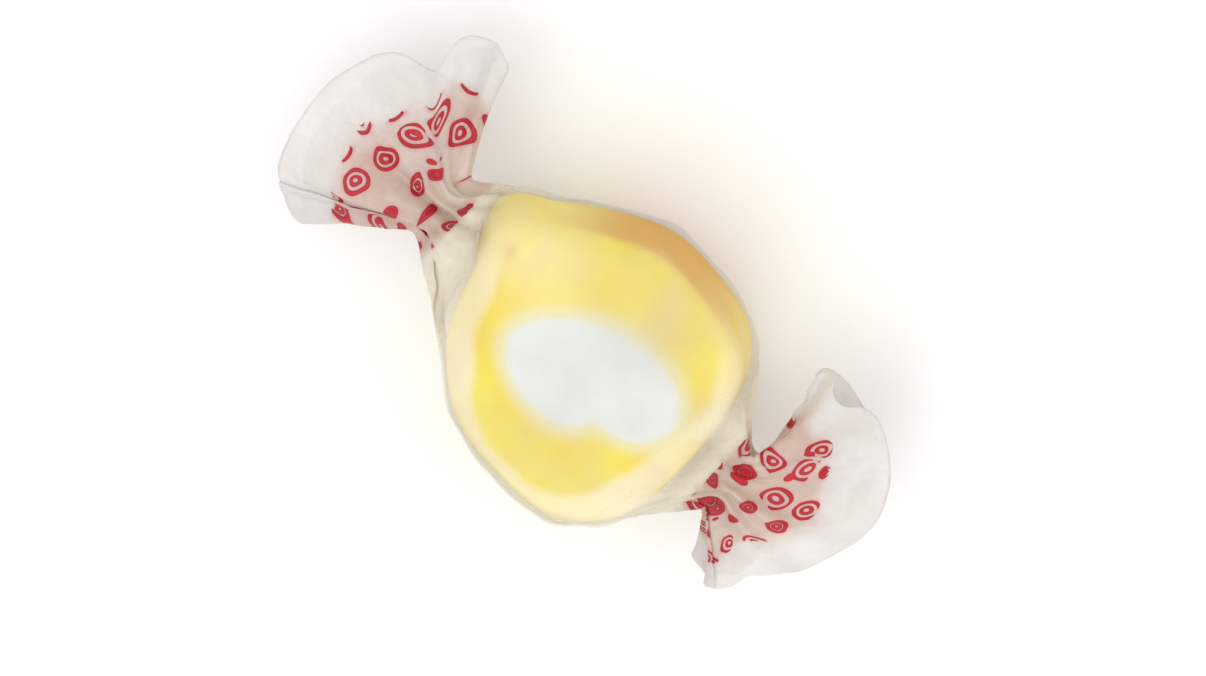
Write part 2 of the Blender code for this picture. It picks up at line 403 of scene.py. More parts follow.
@dataclass(frozen=True)
class WaxedPaper:
    """Waxed tissue: thin bleached paper soaked in food wax, with one red ink printed on it.

    The wax makes it clear where it lies on the sweet and milky where it stands free, and light that
    passes it is spread. The ink is a loose scatter of loops, each round a smaller one, and of dots.
    A draw is the range of a cell's random number over which its loop or dot grows from its least size
    to its largest. The dots' sizes are shares of a cell's width, and one under 0 is no dot.
    """

    name: str = "waxed_paper"
    paper: str = "F4F4F3"
    shade: str = "DCD2CB"
    # Painted light: the warm white painted on the paper round the sweet's sides.
    waxed: str = "F9F3E3"
    ink: str = "D02334"
    ink_edge: str = "8E1A26"
    ink_halo: str = "E6B4B0"
    # Partly painted shade: the pink-grey wash round the print, which also darkens the inner part of each
    # fan.
    ink_and_shade_wash: str = "D9BDAE"
    cloud: float = 6 * MM
    fibre: float = 0.9 * MM
    crinkle: float = 1.6 * MM
    relief_depth: float = 0.12 * MM
    roughness: float = 0.38
    refraction: float = 1.44
    speckle: Pair = (0.92, 1.08)
    wobble: float = 1.2 * MM
    wobble_size: float = 3.0 * MM
    cell: float = 3.1 * MM
    cell_spread: float = 0.5
    dot_cell: float = 2.6 * MM
    dot_spread: float = 0.9
    dot_shift: float = 26.2 * MM
    dot_draw: Pair = (0.3, 1.0)
    dot_sizes: Pair = (-0.2, 0.14)
    loop_draw: Pair = (0.05, 0.7)
    dot_radius: float = 0.35 * MM
    ring_radius: float = 1.1 * MM
    inner_ring: float = 0.4
    border: float = 0.3 * MM
    stroke: float = 0.21 * MM
    edge_share: float = 0.72
    halo: float = 0.35 * MM
    zone_edge: Pair = (0.3, 0.5)
    wash: float = 1.5
    spread_light: float = 0.2
    haze: Field = Field.HAZE

    def loops(self, tree: Any, place: Any) -> Any:
        """Draw loops, each round a smaller one.

        Args:
            tree: the material's node tree.
            place: an output that gives places on the sheet.

        Returns:
            An output with the distance from the nearest stroke, as a share of a cell's width. It is raised
            near the cell's border, so that the ink stops short of it and no loop meets another.
        """
        near = cells(tree, "F1", place, self.cell, self.cell_spread)
        border = cells(tree, "DISTANCE_TO_EDGE", place, self.cell, self.cell_spread)
        sizes = (self.dot_radius / self.cell, self.ring_radius / self.cell)
        radius = rescale(tree, red(tree, near["Color"]), *self.loop_draw, *sizes)
        small = compute(tree, "MULTIPLY", radius, self.inner_ring)
        outer = compute(tree, "ABSOLUTE", compute(tree, "SUBTRACT", near["Distance"], radius))
        inner = compute(tree, "ABSOLUTE", compute(tree, "SUBTRACT", near["Distance"], small))
        short = compute(tree, "SUBTRACT", self.border / self.cell, border["Distance"])
        kept_off = compute(tree, "MULTIPLY", compute(tree, "MAXIMUM", short, 0.0), 2.0)
        return compute(tree, "ADD", compute(tree, "MINIMUM", outer, inner), kept_off)

    def dots(self, tree: Any, place: Any) -> Any:
        """Draw dots of several sizes, with none in some cells.

        Args:
            tree: the material's node tree.
            place: an output that gives places on the sheet.

        Returns:
            An output with the distance from the nearest dot, as a share of a cell's width.
        """
        shift = (self.dot_shift, self.dot_shift, 0.0)
        slid = add_node(tree, "ShaderNodeMapping", inputs={"Vector": place, "Location": shift}).outputs[0]
        near = cells(tree, "F1", slid, self.dot_cell, self.dot_spread)
        radius = rescale(tree, red(tree, near["Color"]), *self.dot_draw, *self.dot_sizes)
        return compute(tree, "MAXIMUM", compute(tree, "SUBTRACT", near["Distance"], radius), 0.0)

    def ink_masks(self, tree: Any) -> tuple[Any, Any, Any]:
        """Draw the print in the sheet's own map, which is in metres.

        Args:
            tree: the material's node tree.

        Returns:
            Three outputs from 0 to 1: the ink with its darker edge, the ink within that edge, and the halo.
        """
        place = add_node(tree, "ShaderNodeUVMap", {"uv_map": "sheet"}).outputs["UV"]
        wobble = lumps(tree, place, self.wobble_size, 1.0, "Color")
        centring = {0: wobble, 1: (0.5, 0.5, 0.5)}
        centred = add_node(tree, "ShaderNodeVectorMath", {"operation": "SUBTRACT"}, centring).outputs[0]
        moving = {0: centred, 1: (self.wobble, self.wobble, 0.0), 2: place}
        moved = add_node(tree, "ShaderNodeVectorMath", {"operation": "MULTIPLY_ADD"}, moving).outputs[0]
        away = compute(tree, "MINIMUM", self.loops(tree, moved), self.dots(tree, moved))
        width = rescale(tree, stored(tree, Field.PRINT), *self.zone_edge)
        reaches = (self.stroke, self.stroke * self.edge_share, self.stroke + self.halo)
        masks = []
        for reach, softness in zip(reaches, (0.02, 0.03, 0.12)):
            limit = compute(tree, "MULTIPLY", width, reach / self.cell)
            masks.append(rescale(tree, compute(tree, "SUBTRACT", limit, away), 0.0, softness))
        return masks[0], masks[1], masks[2]

    def colours(self, tree: Any, place: Any, masks: tuple[Any, Any, Any]) -> Any:
        """Colour the paper and its print.

        Args:
            tree: the material's node tree.
            place: an output that gives places in space.
            masks: the three outputs of the print.

        Returns:
            An output with the colour.
        """
        ink, inner, halo = masks
        clouds = lumps(tree, place, self.cloud, 3.0)
        plain = blend(tree, clouds, linear(self.paper), linear(self.shade))
        # Painted light: round the sweet's sides and shoulders the paper is painted whiter and warmer, to
        # lift the shade of paper standing free there and to stand for the sweet's glow.
        whitened = blend(tree, stored(tree, Field.PAINTED_GLOW), plain, linear(self.waxed))
        # Round the print the paper is tinted pink-grey: partly ink seen through the layers, partly painted
        # shade that darkens the inner part of each fan, by the neck.
        light_and_shade_wash = compute(tree, "MULTIPLY", stored(tree, Field.PRINT), self.wash)
        tinted = blend(tree, compute(tree, "MULTIPLY", light_and_shade_wash, clouds), whitened, linear(self.ink_and_shade_wash))
        bled = blend(tree, halo, tinted, linear(self.ink_halo))
        edged = blend(tree, ink, bled, linear(self.ink_edge))
        return blend(tree, inner, edged, linear(self.ink))

    def material(self) -> bpy.types.Material:
        """Make the finish.

        Returns:
            The material for one face of the sheet, as milky as the field that `haze` names says.
        """
        material = new_material(self.name)
        tree = material.node_tree
        place = add_node(tree, "ShaderNodeTexCoord").outputs["Object"]
        masks = self.ink_masks(tree)
        colour = self.colours(tree, place, masks)
        grid = {"Vector": place, "Scale": 1 / self.crinkle}
        crinkle = add_node(tree, "ShaderNodeTexVoronoi", {"feature": "DISTANCE_TO_EDGE"}, grid)
        fibre = lumps(tree, place, self.fibre, 4.0)
        relief = compute(tree, "ADD", crinkle.outputs["Distance"], fibre)
        normal = roughen(tree, relief, stored(tree, Field.CREASE), self.relief_depth)
        speckle = rescale(tree, fibre, 0.0, 1.0, *self.speckle)
        milky = compute(tree, "MULTIPLY", stored(tree, self.haze), speckle)
        milky.node.use_clamp = True
        surface = {
            "Base Color": colour,
            "Roughness": self.roughness,
            "IOR": self.refraction,
            "Normal": normal,
        }
        front = add_node(tree, "ShaderNodeBsdfPrincipled", inputs=surface).outputs[0]
        lit_through = {"Color": colour, "Normal": normal}
        through = add_node(tree, "ShaderNodeBsdfTranslucent", inputs=lit_through).outputs[0]
        layers = {"Fac": self.spread_light, 1: front, 2: through}
        body = add_node(tree, "ShaderNodeMixShader", inputs=layers).outputs[0]
        clear = add_node(tree, "ShaderNodeBsdfTransparent").outputs[0]
        cover = {"Fac": compute(tree, "MAXIMUM", milky, masks[0]), 1: clear, 2: body}
        shader = add_node(tree, "ShaderNodeMixShader", inputs=cover).outputs[0]
        add_node(tree, "ShaderNodeOutputMaterial", inputs={"Surface": shader})
        return material


@dataclass
class TaffyRope:
    """The cut length of rope: a yellow ring round a white core, both faces cut level.

    A dimple or a patch is (x, y, width) with a share if it has one, and a band of the rim is (direction
    in degrees, share, width). Their lengths are in millimetres.
    """

    yellow: PulledTaffy
    white: PulledTaffy
    radius: float = 12.4 * MM
    flats: tuple[Pair, ...] = (
        (math.radians(2), 11.3 * MM),
        (math.radians(85), 11.05 * MM),
        (math.radians(120), 10.75 * MM),
        (math.radians(190), 11.3 * MM),
        (math.radians(228), 10.9 * MM),
        (math.radians(262), 11.1 * MM),
    )
    centre: Pair = (0.85 * MM, -0.4 * MM)
    height: float = 17.7 * MM
    bottom: float = 0.65 * MM
    edge: float = 1.9 * MM
    bulge: float = 0.4 * MM
    sharpness: float = 14.0
    nose_at: float = math.radians(164)
    nose_length: float = 2.5 * MM
    nose_width: float = math.radians(15)
    nose_rise: float = 2.0 * MM
    nose_half_height: float = 5.5 * MM
    core_half: Pair = (7.7 * MM, 4.65 * MM)
    core_centre: Pair = (2.2 * MM, -0.4 * MM)
    core_turn: float = math.radians(18)
    core_notch: Triple = (1.4 * MM, math.radians(-60), math.radians(24))
    core_start: float = 0.02
    swell: float = 0.3 * MM
    seam: float = 0.15 * MM
    seam_wander: float = 0.22 * MM
    dome: float = 0.12 * MM
    dent: float = 0.12 * MM
    side_dent: float = 0.14 * MM
    fade: float = 0.9 * MM
    core_fade: float = 0.35 * MM
    crease_angle: float = math.radians(50)
    # Painted shade down the side: its least and most share, its share by the right neck, and its reach below
    # the face, towards +Y and along the axis.
    least_side_shade: float = 0.14
    most_side_shade: float = 0.9
    neck_side_shade: float = 0.15
    side_shade_depth: Pair = (0.4 * MM, 2.0 * MM)
    side_shade_back: float = 8 * MM
    side_shade_start: Pair = (-10 * MM, -4 * MM)
    side_shade_end: Pair = (1 * MM, 11 * MM)
    dimple_squeeze: float = 0.7
    dimples: tuple[Triple, ...] = (
        (-9.9, 2.6, 0.7),
        (11.0, -2.2, 1.0),
        (-7.4, -7.4, 0.8),
        (-4.1, -9.9, 0.9),
    )
    bands: tuple[Triple, ...] = (
        (5, 0.65, 2.4),
        (35, 0.75, 1.9),
        (65, 0.05, 1.0),
        (120, 0.0, 1.0),
        (150, 0.3, 1.4),
        (178, 0.75, 2.4),
        (215, 0.95, 2.6),
        (262, 0.8, 1.6),
        (300, 0.9, 2.4),
        (332, 1.0, 3.4),
    )
    band_ragged: float = 0.6 * MM
    band_soft: float = 1.3 * MM
    # How much the rim's bands are painted paler, as painted light: at the face and down the side.
    band_painted_light: Pair = (0.8, 0.3)
    band_fades: Pair = (2 * MM, 6 * MM)
    pale_patch: tuple[float, float, float, float] = (-7.2, 3.8, 4.4, 0.36)
    columns: int = 320
    face_rows: int = 26
    core_rows: int = 22
    edge_rows: int = 10
    side_rows: int = 24
    halvings: int = 26

    @property
    def middle(self) -> float:
        """Height of the rope's middle, which is the height of the twist's axis."""
        return self.bottom + self.height / 2

    @property
    def top(self) -> float:
        """Height of the upper cut face, without its swelling."""
        return self.bottom + self.height

    @property
    def half(self) -> float:
        """Half the swollen rope's height."""
        return self.height / 2 + self.swell

    @property
    def directions(self) -> np.ndarray:
        """Where the columns of points stand round the rope."""
        return np.arange(self.columns) / self.columns * TURN

    def outline(self, angle: np.ndarray) -> np.ndarray:
        """Radius of the section: the least of a circle and its flats, with the corners eased.

        Args:
            angle: directions round the rope.

        Returns:
            The radius in each direction.
        """
        total = self.radius**-self.sharpness
        for direction, distance in self.flats:
            toward = np.maximum(np.cos(angle - direction), 0.0)
            total = total + (toward / distance) ** self.sharpness
        return total ** (-1 / self.sharpness)

    def nose(self, angle: np.ndarray, height: Any) -> np.ndarray:
        """How far the twist drew the rope out towards the larger fan's neck.

        Args:
            angle: directions round the rope.
            height: heights above the middle.

        Returns:
            The distance added to the radius.
        """
        aside = from_zero(angle - self.nose_at) / self.nose_width
        up = (height - self.nose_rise) / self.nose_half_height
        return self.nose_length * bell(aside) * bell(up)

    def inset(self, height: np.ndarray, grow: float) -> np.ndarray:
        """How far the side stands in at a height above the middle.

        Args:
            height: heights above the middle.
            grow: how much the rope is grown.

        Returns:
            The inset that the rounded edge and the side's bulge give.
        """
        half = self.height / 2 + grow
        radius = self.edge + grow
        into = np.maximum(np.abs(height) - (half - radius), 0.0)
        rounded = radius - np.sqrt(np.maximum(radius**2 - into**2, 0.0))
        return rounded - self.bulge * (1 - (height / half) ** 2)

    def core_outline(self, angle: np.ndarray) -> np.ndarray:
        """Radius of the core's bean, from its own middle.

        Args:
            angle: directions round that middle.

        Returns:
            The radius in each direction.
        """
        own = angle - self.core_turn
        half_long, half_short = self.core_half
        ellipse = 1 / np.hypot(np.cos(own) / half_long, np.sin(own) / half_short)
        depth, place, width = self.core_notch
        return ellipse - depth * bell(from_zero(own - place) / width)

    def seam_line(self, angle: np.ndarray) -> np.ndarray:
        """The line in plan where yellow meets white, uneven as pulled taffy is.

        Args:
            angle: directions round the core's middle.

        Returns:
            The places, with x and y along the last axis.
        """
        circle = np.stack([np.cos(angle), np.sin(angle), np.zeros_like(angle)], axis=-1) * 5 * MM
        wander = self.seam_wander * smooth_noise(circle, 2.6 * MM, 3.0)
        radius = self.core_outline(angle) + self.seam + wander
        return np.array(self.core_centre) + radius[..., None] * compass(angle)

    def holds(self, x: np.ndarray, y: np.ndarray, z: np.ndarray, grow: Any) -> np.ndarray:
        """Whether points lie in the rope grown by a clearance.

        Args:
            x: places along the axis.
            y: places across it.
            z: heights above the floor.
            grow: the clearance.

        Returns:
            True where a point lies in it.
        """
        height = z - self.middle
        half = self.height / 2 + grow
        along, across = x - self.centre[0], y - self.centre[1]
        angle = np.arctan2(across, along)
        reach = self.outline(angle) + self.nose(angle, height) + grow - self.inset(height, grow)
        return (np.abs(height) <= half) & (np.hypot(along, across) <= reach)

    def reach(self, x: np.ndarray, angle: np.ndarray, grow: Any) -> np.ndarray:
        """Distance from the twist's axis to the grown rope's outside.

        Args:
            x: places along the axis.
            angle: directions round the axis.
            grow: how much the rope is grown.

        Returns:
            The distance, or 0 past the rope's ends.
        """
        x, angle = np.broadcast_arrays(x, angle)
        low, high = np.zeros_like(x), np.full_like(x, 2 * self.radius)
        for _ in range(self.halvings):
            try_at = (low + high) / 2
            inside = self.holds(x, try_at * np.cos(angle), self.middle + try_at * np.sin(angle), grow)
            low, high = np.where(inside, try_at, low), np.where(inside, high, try_at)
        return low

    def relief(self, places: np.ndarray) -> np.ndarray:
        """Lift of a cut face over the plane, all of it downwards: a soft dome with shallow dents.

        Args:
            places: places on the face.

        Returns:
            The lift, which is under 0.
        """
        _, from_middle = polar(places, self.centre)
        dents = 0.5 + 0.5 * smooth_noise(places, 5.5 * MM, 11.0)
        return -self.dome * (from_middle / self.radius) ** 2 - self.dent * dents

    def cut_face(self, flat: np.ndarray, side: int) -> np.ndarray:
        """Raise places in plan to a cut face, the upper one for 1 and the lower one for -1.

        Args:
            flat: places in plan, by row and column.
            side: 1 or -1.

        Returns:
            The places with their heights.
        """
        z = np.full(flat.shape[:2], self.middle + side * self.half)
        points = np.concatenate([flat, z[..., None]], axis=-1)
        points[..., 2] += side * self.relief(points)
        return points

    def face(self, side: int) -> np.ndarray:
        """Points of the ring's upper or lower cut face, from the seam to where the edge starts to round.

        Args:
            side: 1 for the upper face, -1 for the lower one.

        Returns:
            The points by row and column.
        """
        angle = self.directions
        radius = self.outline(angle) + self.nose(angle, side * self.half) - self.edge
        outer = np.array(self.centre) + compass(angle) * radius[:, None]
        share = np.linspace(0.0, 1.0, self.face_rows)[:, None, None]
        return self.cut_face(mix(self.seam_line(angle)[None], outer[None], share), side)

    def side(self) -> np.ndarray:
        """Points of the rope's outside, from the upper edge down to the lower one.

        Returns:
            The points by row and column.
        """
        angle = self.directions
        half, edge = self.half, self.edge + self.swell
        turn = np.linspace(0.0, math.pi / 2, self.edge_rows + 1)[1:]
        upper = half - edge + edge * np.cos(turn)
        straight = np.linspace(half - edge, edge - half, self.side_rows + 1)[1:-1]
        height = np.concatenate([upper, straight, -upper[::-1]])[:, None]
        radius = self.outline(angle)[None] + self.nose(angle[None], height) + self.swell
        radius = radius - self.inset(height, self.swell)
        flat = np.array(self.centre) + radius[..., None] * compass(angle)
        z = np.broadcast_to(self.middle + height, radius.shape)
        points = np.concatenate([flat, z[..., None]], axis=-1)
        dents = 0.5 + 0.5 * smooth_noise(points * np.array([1, 1, 0.5]), 4.0 * MM, 7.0)
        dents = self.side_dent * dents * ramp(np.abs(height), half, half - edge)
        points[..., :2] -= dents[..., None] * compass(angle)[None]
        for side in (1, -1):
            lift = self.face(side)[-1, :, 2] - (self.middle + side * half)
            points[..., 2] += smooth_step(side * height / half) * lift
        return points

    def squeeze_and_shade(self, points: np.ndarray) -> np.ndarray:
        """How deep and orange the yellow taffy is painted: down its side as painted shade, and at dimples
        that the paper pinches.

        Args:
            points: places on the taffy.

        Returns:
            One share a place, from 0 to 1.
        """
        x, y, z = np.moveaxis(points, -1, 0)
        # Painted shade: below the upper face the side is painted deeper, most towards +Y and less near both
        # necks.
        below = ramp(self.top - z, *self.side_shade_depth)
        toward_back = ramp(y - self.centre[1], 0.0, self.side_shade_back)
        before_neck = mix(1.0, self.neck_side_shade, ramp(x, *self.side_shade_end))
        share = toward_back * ramp(x, *self.side_shade_start) * before_neck
        total = mix(self.least_side_shade, self.most_side_shade, share) * below
        for dimple in self.dimples:
            total = np.maximum(total, self.dimple_squeeze * patch(points, *dimple))
        return total

    def rim_band(self, points: np.ndarray) -> np.ndarray:
        """How milky the sweet looks near its rim, which differs by direction.

        Args:
            points: places on the sweet or on the paper over it.

        Returns:
            One share a place, 0 well inside the face and up to 1 at the rim and outside it.
        """
        angle, from_middle = polar(points, self.centre)
        inward = self.outline(angle) + self.nose(angle, self.height / 2) - from_middle
        directions, shares, widths = zip(*self.bands)
        share = np.interp(np.degrees(angle), directions, shares, period=360.0)
        width = np.interp(np.degrees(angle), directions, widths, period=360.0) * MM
        ragged = width + self.band_ragged * smooth_noise(points, 3.5 * MM, 14.0)
        return share * smooth_step((ragged - inward) / self.band_soft)

    def light_and_shade_wash(self, points: np.ndarray) -> np.ndarray:
        """How much the taffy is painted paler: in the rim's bands, little down the side, and in one patch on
        the face. It stands for the milky paper over it, and in the bands partly for painted light.

        Args:
            points: places on the taffy.

        Returns:
            One share a place, from 0 to 1.
        """
        from_face = self.half - np.abs(points[..., 2] - self.middle)
        banded = self.rim_band(points) * mix(*self.band_painted_light, ramp(from_face, *self.band_fades))
        *place, share = self.pale_patch
        return np.maximum(banded, share * patch(points, *place))

    def build_ring(self) -> bpy.types.Object:
        """Make the yellow ring.

        Returns:
            The ring, closed round its channel.
        """
        points = np.concatenate([self.face(1), self.side(), self.face(-1)[::-1]])[:, ::-1]
        item = grid_object("taffy_rope", points, closed_rows=True, closed_columns=True)
        item.data.set_sharp_from_angle(angle=self.crease_angle)
        away = np.linalg.norm(points[..., :2] - points[:1, :, :2], axis=-1)
        write_field(item, Field.CORE_BLEND, 0.5 * bell(away / self.fade))
        # Painted shade on the side, and deeper dimples.
        write_field(item, Field.DEEP_AND_SHADE, self.squeeze_and_shade(points))
        # Painted light: the rim's paler bands.
        write_field(item, Field.PALE, self.light_and_shade_wash(points))
        adopt(item, self.yellow.material(), "taffy")
        return item

    def build_core(self) -> bpy.types.Object:
        """Make the white core.

        Returns:
            The core, closed at both faces.
        """
        line = self.seam_line(self.directions)
        share = np.linspace(self.core_start, 1.0, self.core_rows)[:, None, None]
        flat = mix(np.array(self.core_centre), line[None], share)
        points = np.concatenate([self.cut_face(flat, 1), self.cut_face(flat, -1)[::-1]])[:, ::-1]
        item = grid_object("taffy_core", points, closed_rows=False, closed_columns=True)
        work = bmesh.new()
        work.from_mesh(item.data)
        bmesh.ops.holes_fill(work, edges=[e for e in work.edges if e.is_boundary])
        bmesh.ops.recalc_face_normals(work, faces=work.faces)
        work.to_mesh(item.data)
        work.free()
        item.data.set_sharp_from_angle(angle=self.crease_angle)
        away = np.linalg.norm(points[..., :2] - line[None, ::-1], axis=-1)
        write_field(item, Field.CORE_BLEND, 0.5 * bell(away / self.core_fade))
        adopt(item, self.white.material(), "core")
        return item


@dataclass(frozen=True)
class Fan:
    """One flared end of the paper: two layers that spread from the neck and wave together.

    The lean and the spread are bearings in plan, and a notch is (degrees round, share of the reach,
    width in degrees).
    """

    end: End
    reach: float
    lean: float
    spread: float
    half_height: float
    rise: float
    side_cut: float
    slant: float
    lower_cut: float
    wave_height: float
    wave_turns: float
    wave_phase: float
    ruffle_phase: float
    notches: tuple[Triple, ...]
    ruffles: int = 5
    ruffle_height: float = 0.45 * MM
    neck_spread: Pair = (0.7, 1.15)
    slanted: Pair = (0.3, -0.5)

    def length(self, angle: np.ndarray) -> np.ndarray:
        """Share of the reach at an angle, with the short sides, the slant and the notches.

        Args:
            angle: places round the tube.

        Returns:
            One share a place.
        """
        share = 1 - self.side_cut * (1 - np.abs(np.sin(angle)) ** 0.7)
        share = share - self.slant * ramp(np.cos(angle), *self.slanted)
        share = share - self.lower_cut * np.maximum(0.0, -np.sin(angle))
        for place, depth, width in self.notches:
            away = (np.degrees(angle) - place + 180) % 360 - 180
            share = share - depth * bell(away / width)
        return share

    def bearing(self, along: np.ndarray, across: np.ndarray) -> np.ndarray:
        """Direction in plan in which a place on the fan lies from the neck."""
        at_neck = mix(*self.neck_spread, (1 + across) / 2)
        return self.lean * along + self.spread * mix(at_neck, 1.0, along) * across

    def points(self, along: np.ndarray, angle: np.ndarray, neck: Triple) -> np.ndarray:
        """Places on the fan.

        Args:
            along: 0 at the neck and 1 at the rim.
            angle: places round the tube.
            neck: how far out the neck ends, its radius, and the height of the axis.

        Returns:
            The places, with x, y and z along the last axis.
        """
        across = np.cos(angle)
        bearing = self.bearing(along, across)
        reach = self.reach * along * self.length(angle)
        ruffle = np.cos(self.ruffles * angle + self.ruffle_phase)
        neck_x, neck_radius, z = neck
        half = mix(neck_radius, self.half_height, along) + self.ruffle_height * along * ruffle
        wave = np.cos(TURN * self.wave_turns * across + self.wave_phase)
        lift = self.rise * along + self.wave_height * along**1.5 * wave
        x = self.end.value * (neck_x + reach * np.cos(bearing))
        y = neck_radius * across + reach * np.sin(bearing)
        return np.stack([x, y, z + lift + half * np.sin(angle)], axis=-1)


@dataclass(frozen=True)
class FoldSet:
    """Folds of one size, which rise from the sweet towards each neck and change over the fan.

    The height and the two places along the axis are in millimetres.
    """

    count: int
    height: float
    start: float
    full: float
    softness: float
    at_rim: float
    fall: float = 1.0

    def size(self, station: np.ndarray, out: np.ndarray) -> np.ndarray:
        """Height of the folds at places along the axis and out in the fan."""
        rising = self.height * ramp(station, self.start, self.full)
        return rising * mix(self.at_rim, 1.0, (1 - out) ** self.fall)


@dataclass
class PaperSheet:
    """The sheet of waxed paper: rolled round the rope, lapped, twisted twice and flared.

    A looser or tighter place is (x, y, width, milkiness added), and a facet is a place along the axis.
    Their lengths, and those whose names end in mm, are in millimetres. A clearer side is (direction in
    degrees, share of the milkiness).
    """

    rope: TaffyRope
    finish: WaxedPaper
    inside: WaxedPaper
    fans: tuple[Fan, Fan]
    thickness: float = 0.07 * MM
    cling: float = 0.58 * MM
    under_lap: float = 0.13 * MM
    lap_from: float = math.radians(141)
    lap: float = math.radians(40)
    lap_slope: float = math.radians(14)
    free_edge: float = math.radians(5)
    neck: float = 2.75 * MM
    neck_x: float = 15.6 * MM
    neck_end: float = 16.8 * MM
    neck_easing: float = 2.0 * MM
    twist: float = math.radians(40 / 7) / MM
    fold_sets: tuple[FoldSet, ...] = (
        FoldSet(count=7, height=0.62, start=7.0, full=14.0, softness=0.03, at_rim=1.35),
        FoldSet(count=11, height=0.26, start=8.5, full=12.5, softness=0.015, at_rim=1.1),
        FoldSet(count=17, height=0.3, start=11.5, full=15.5, softness=0.01, at_rim=0.1, fall=1.5),
    )
    loose_mm: Pair = (8.0, 13.0)
    rough_mm: float = 0.22
    rough_least_mm: float = 0.03
    ridge_mm: float = 0.12
    edge_lift_mm: float = 0.12
    looser: tuple[tuple[float, float, float, float], ...] = (
        (-7.2, 3.8, 4.2, 0.08),
        (3.0, 6.5, 4.0, 0.2),
        (-6.5, -3.0, 3.5, -0.14),
        (10.0, -1.0, 3.5, -0.07),
        (2.5, -7.5, 3.5, 0.03),
    )
    relaxed_mm: Pair = (12.5, 9.0)
    clearance: float = 0.02 * MM
    contact_soft: float = 0.04 * MM
    crease_haze: float = 0.1
    band_haze: float = 0.36
    cling_haze: float = 0.155
    cling_uneven: float = 0.085
    cling_most: float = 0.4
    neck_haze: Pair = (0.6, 0.9)
    neck_mm: Pair = (9.0, 13.0)
    side_mm: Pair = (0.0, 1.5)
    cleared_mm: Pair = (13.0, 10.0)
    free_mm: Pair = (0.3, 1.6)
    fan_haze: float = 0.86
    least_haze: float = 0.04
    most_haze: float = 0.95
    side_clear: tuple[Pair, ...] = ((25, 1.0), (60, 0.8), (85, 0.3), (125, 0.2), (185, 1.0))
    creased: Pair = (0.12, 0.9)
    fan_mm: float = 13.0
    print_outer_mm: Pair = (9.2, 6.8)
    print_inner_mm: Pair = (14.2, 15.0)
    painted_glow_mm: Pair = (9.5, 11.5)
    columns: int = 240
    body_rows: int = 112
    span_rows: int = 161
    fan_rows: int = 38
    facets: tuple[float, ...] = (-14.0, -10.6, -7.2, -3.4, 2.6, 6.6, 9.6, 12.2, 14.6)
    facet_slant: float = 1.2 * MM
    facet_turn: float = 1.7
    facet_limit: float = 0.4 * MM
    map_start: float = 3 * MM
    map_apart: float = 20 * MM
    points: np.ndarray = field(init=False)
    along: np.ndarray = field(init=False)

    @property
    def out(self) -> np.ndarray:
        """How far out in its fan each row lies, from 0 at the neck to 1 at the rim."""
        return np.abs(self.along)[:, None]

    @property
    def station(self) -> np.ndarray:
        """How far each place lies from the sweet's middle along the axis, in millimetres."""
        return np.abs(self.points[..., 0]) / MM

    def angles(self) -> np.ndarray:
        """Places round the axis of the sheet's columns, from its outer free edge to its inner one."""
        return self.lap_from + np.linspace(0.0, TURN + self.lap, self.columns)

    def under(self) -> np.ndarray:
        """How far in each column lies under the lap."""
        into_lap = self.angles() - self.lap_from - TURN
        return self.under_lap * ramp(into_lap, -self.lap_slope, 0.0)

    def taut(self, x: np.ndarray, angle: np.ndarray) -> np.ndarray:
        """Distance of the paper from the axis, stretched from neck to neck over the sweet.

        Args:
            x: places along the axis, from neck to neck.
            angle: the columns' places round it.

        Returns:
            The distance by place and column.
        """
        reach = self.rope.reach(x[:, None], angle[None, :], self.cling)
        reach[[0, -1]] = self.neck
        result = np.empty_like(reach)
        for column in range(len(angle)):
            hull: list[Pair] = []
            for point in zip(x, reach[:, column]):
                while len(hull) > 1:
                    (x0, r0), (x1, r1) = hull[-2:]
                    if (r1 - r0) * (point[0] - x0) > (point[1] - r0) * (x1 - x0):
                        break
                    hull.pop()
                hull.append(point)
            corners = np.array(hull)
            result[:, column] = np.interp(x, corners[:, 0], corners[:, 1])
        return result

    def faceted(self, x: np.ndarray, angle: np.ndarray, reach: np.ndarray) -> np.ndarray:
        """Flatten the paper's round into uneven facets, which meet in soft creases.

        Args:
            x: the rows' places along the axis.
            angle: the columns' places round it.
            reach: the smooth distance from the axis.

        Returns:
            The distance from the axis with facets, nowhere under the smooth one.
        """
        slope = np.gradient(reach, x, axis=0)
        columns = range(len(angle))
        lines = []
        for number, station in enumerate(self.facets):
            at = station * MM + self.facet_slant * np.sin(angle + self.facet_turn * number)
            reach_at = np.array([np.interp(at[c], x, reach[:, c]) for c in columns])
            slope_at = np.array([np.interp(at[c], x, slope[:, c]) for c in columns])
            lines.append(reach_at + slope_at * (x[:, None] - at[None, :]))
        outer = np.min(lines, axis=0)
        return reach + np.clip(outer - reach, 0.0, self.facet_limit)

    def lay_out(self) -> None:
        """Place the sheet smooth, without its folds."""
        angle = self.angles()
        span = np.linspace(-self.neck_x, self.neck_x, self.span_rows)
        facet = self.faceted(span, angle, self.taut(span, angle))
        x = np.linspace(-self.neck_end, self.neck_end, self.body_rows)
        held = np.clip(x, -self.neck_x, self.neck_x)
        reach = np.stack([np.interp(held, span, column) for column in facet.T], axis=-1)
        y, z = reach * np.cos(angle), self.rope.middle + reach * np.sin(angle)
        body = np.stack([np.broadcast_to(x[:, None], reach.shape), y, z], axis=-1)
        out = np.linspace(0.0, 1.0, self.fan_rows + 1)[1:]
        neck = (self.neck_end, self.neck, self.rope.middle)
        left, right = (fan.points(out[:, None], angle[None], neck) for fan in self.fans)
        self.points = np.concatenate([left[::-1], body, right])
        self.along = np.concatenate([-out[::-1], np.zeros(self.body_rows), out])
        self.ease_necks()

